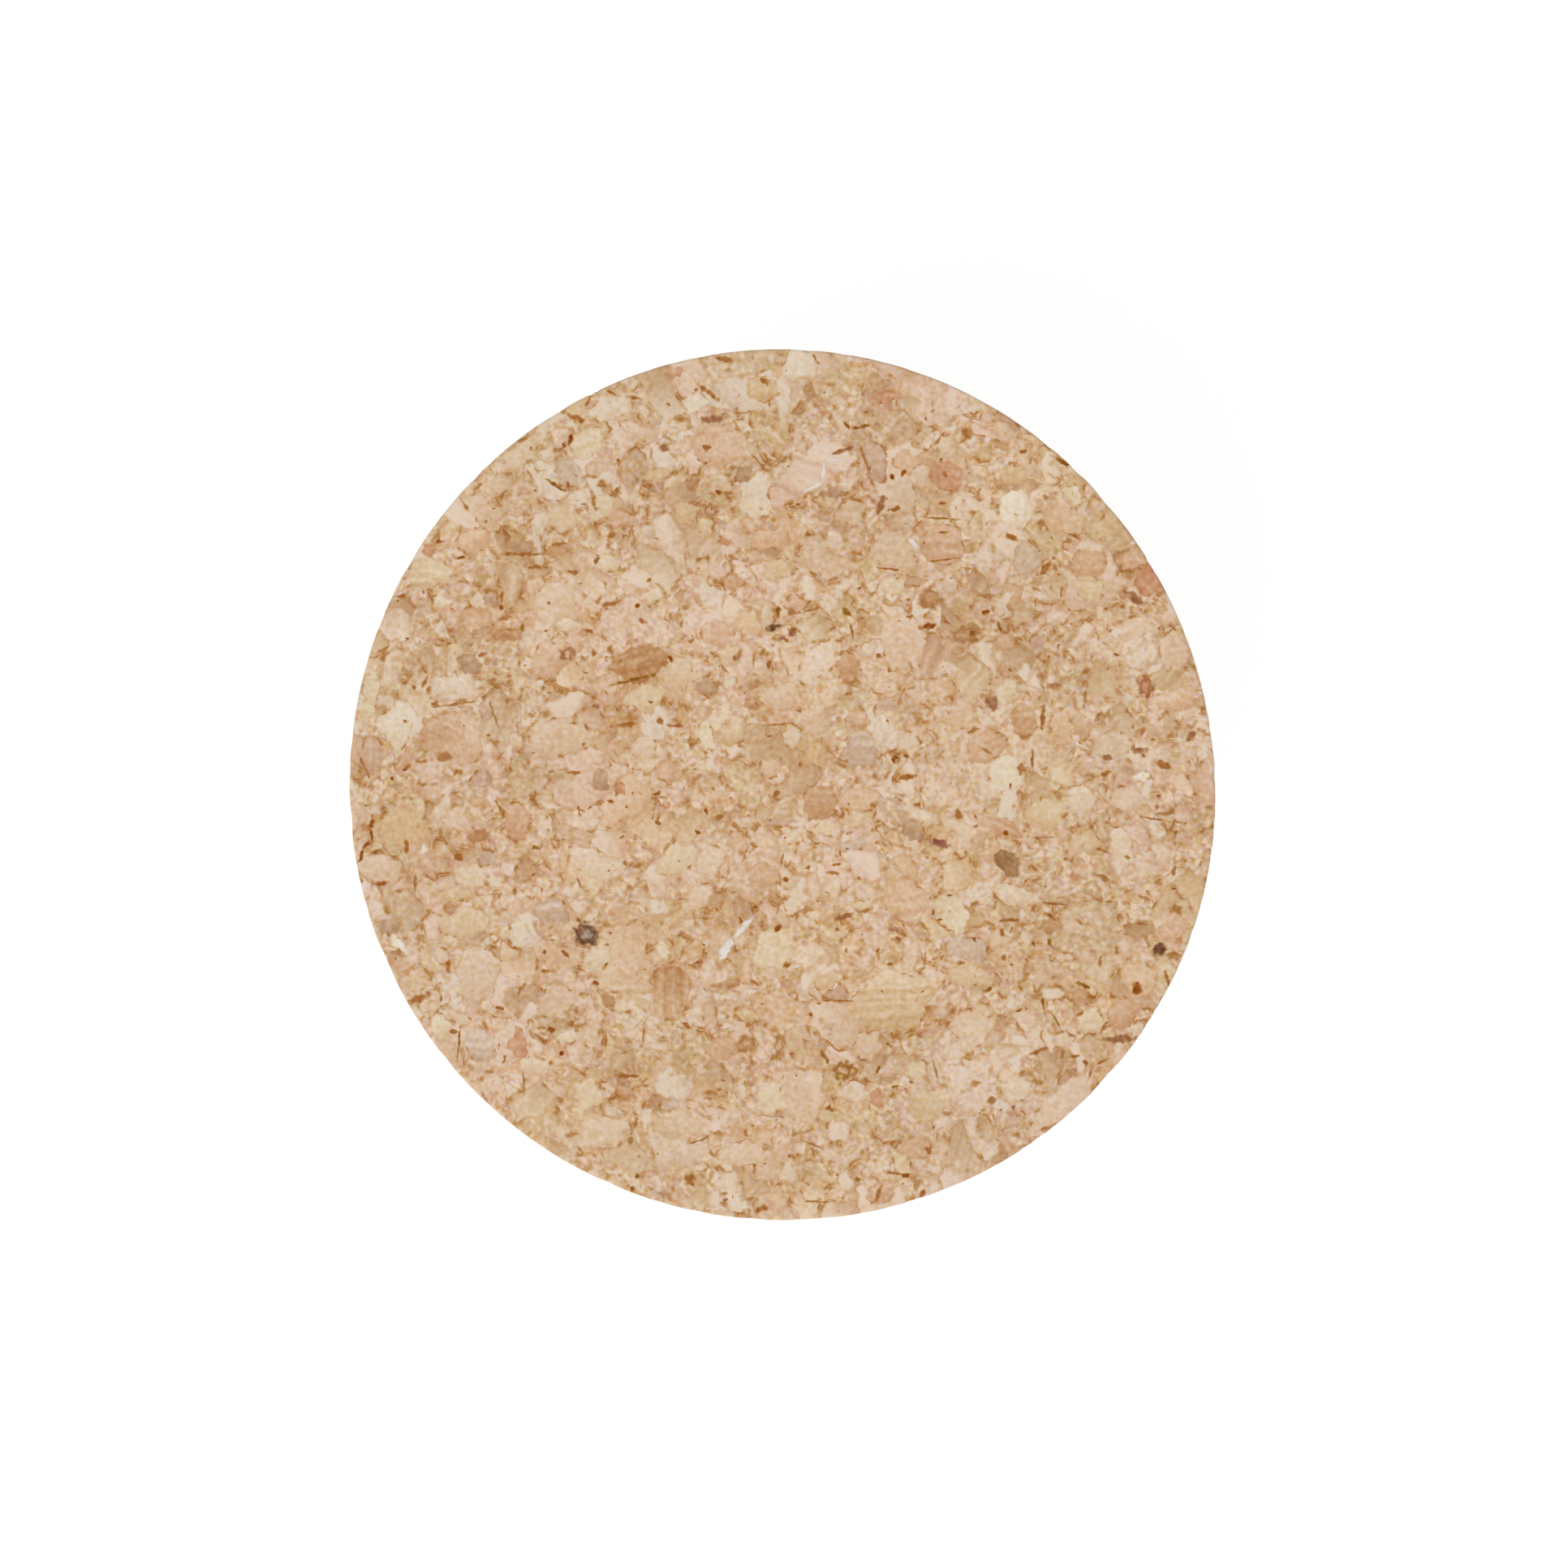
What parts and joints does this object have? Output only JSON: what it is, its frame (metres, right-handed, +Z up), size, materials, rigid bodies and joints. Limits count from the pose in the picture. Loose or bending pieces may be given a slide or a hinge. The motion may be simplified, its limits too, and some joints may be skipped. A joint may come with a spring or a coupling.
{
  "type": "cork stopper",
  "caption": "Tapered round stopper of pressed cork granules, one solid piece that wedges into the neck of a jar or bottle.",
  "frame": {"origin": "centre of the narrow bottom face, which the stopper stands on", "axes": "+Z up along the stopper's axis, towards the wide top face; the piece is round, so X and Y are any two directions across it"},
  "size_m": [0.05, 0.05, 0.03],
  "materials": {
    "pressed_cork": "raw pressed cork granules, matt, ground flat and unsealed"
  },
  "bodies": {
    "root": {"stopper": "pressed_cork"}
  },
  "joints": []
}
